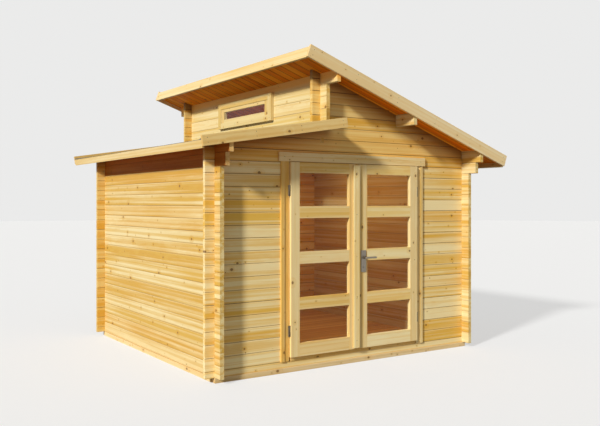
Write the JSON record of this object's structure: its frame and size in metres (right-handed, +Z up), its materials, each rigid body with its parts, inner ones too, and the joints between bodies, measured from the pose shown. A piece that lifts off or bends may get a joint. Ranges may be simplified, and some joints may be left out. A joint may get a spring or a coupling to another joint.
{
  "type": "log cabin",
  "caption": "Small timber log cabin with a raised monopitch roof, a lower side roof, a long high window and glazed double doors.",
  "frame": {"origin": "middle of the floor plan between the outer faces of the walls, on the ground that the base beams rest on", "axes": "+Z up, -Y out through the double doors in the front, +X to the right as seen by someone who faces the front"},
  "size_m": [3.6526, 3.415, 2.9684],
  "materials": {
    "wall_log": "planed bare pine, matte",
    "base_timber": "sawn timber, matte",
    "floor_board": "planed boards, matte",
    "roof_board": "planed boards, matte",
    "roof_felt": "bitumen felt with mineral grit",
    "trim_board": "planed bare pine, matte",
    "joinery_wood": "smooth pine joinery, satin",
    "glass": "clear",
    "hardware_metal": "satin"
  },
  "bodies": {
    "cabin": {"base_beams": "base_timber", "floor_joists": "base_timber", "floor_boards": "floor_board", "front_sill_log": "wall_log", "front_wall_left": "wall_log", "front_wall_right": "wall_log", "front_gable_lower": "wall_log", "front_gable_upper": "wall_log", "back_wall": "wall_log", "back_gable_upper": "wall_log", "left_wall": "wall_log", "left_wall_top_logs": "wall_log", "right_wall": "wall_log", "right_wall_top_logs": "wall_log", "tall_wall_lower": "wall_log", "tall_wall_sides": "wall_log", "tall_wall_top_log": "wall_log", "middle_purlin": "wall_log", "lower_roof_ledger": "wall_log", "upper_roof_deck": "roof_board", "lower_roof_deck": "roof_board", "upper_roof_felt": "roof_felt", "lower_roof_felt": "roof_felt", "upper_verge_boards": "trim_board", "lower_verge_boards": "trim_board", "fascia_boards": "trim_board", "door_frame": "joinery_wood", "door_head_board": "joinery_wood", "frame_hinges": "hardware_metal", "window_casing": "joinery_wood", "window_sash": "joinery_wood", "window_glass": "glass"},
    "left_leaf": {"left_leaf_stiles": "joinery_wood", "left_leaf_rails": "joinery_wood", "left_leaf_glass": "glass", "left_leaf_cover_strip": "joinery_wood", "left_leaf_hinges": "hardware_metal"},
    "right_leaf": {"right_leaf_stiles": "joinery_wood", "right_leaf_rails": "joinery_wood", "right_leaf_glass": "glass", "right_leaf_hinges": "hardware_metal", "handle_plates": "hardware_metal", "lock_cylinder": "hardware_metal"},
    "lever": {"lever_handle": "hardware_metal"}
  },
  "joints": [
    {"name": "left_leaf_hinge", "type": "hinge", "parent": "cabin", "child": "left_leaf", "pos_m": [-0.765, -1.4335, 1.034], "axis": [0, 0, -1], "range_deg": [0, 110]},
    {"name": "right_leaf_hinge", "type": "hinge", "parent": "cabin", "child": "right_leaf", "pos_m": [0.811, -1.4335, 1.034], "axis": [0, 0, 1], "range_deg": [0, 110]},
    {"name": "lever_pivot", "type": "hinge", "parent": "right_leaf", "child": "lever", "pos_m": [0.09, -1.4315, 1.02], "axis": [0, 1, 0], "range_deg": [0, 40], "stiffness_Nm_per_rad": 1.2, "springref_deg": -34.38}
  ]
}
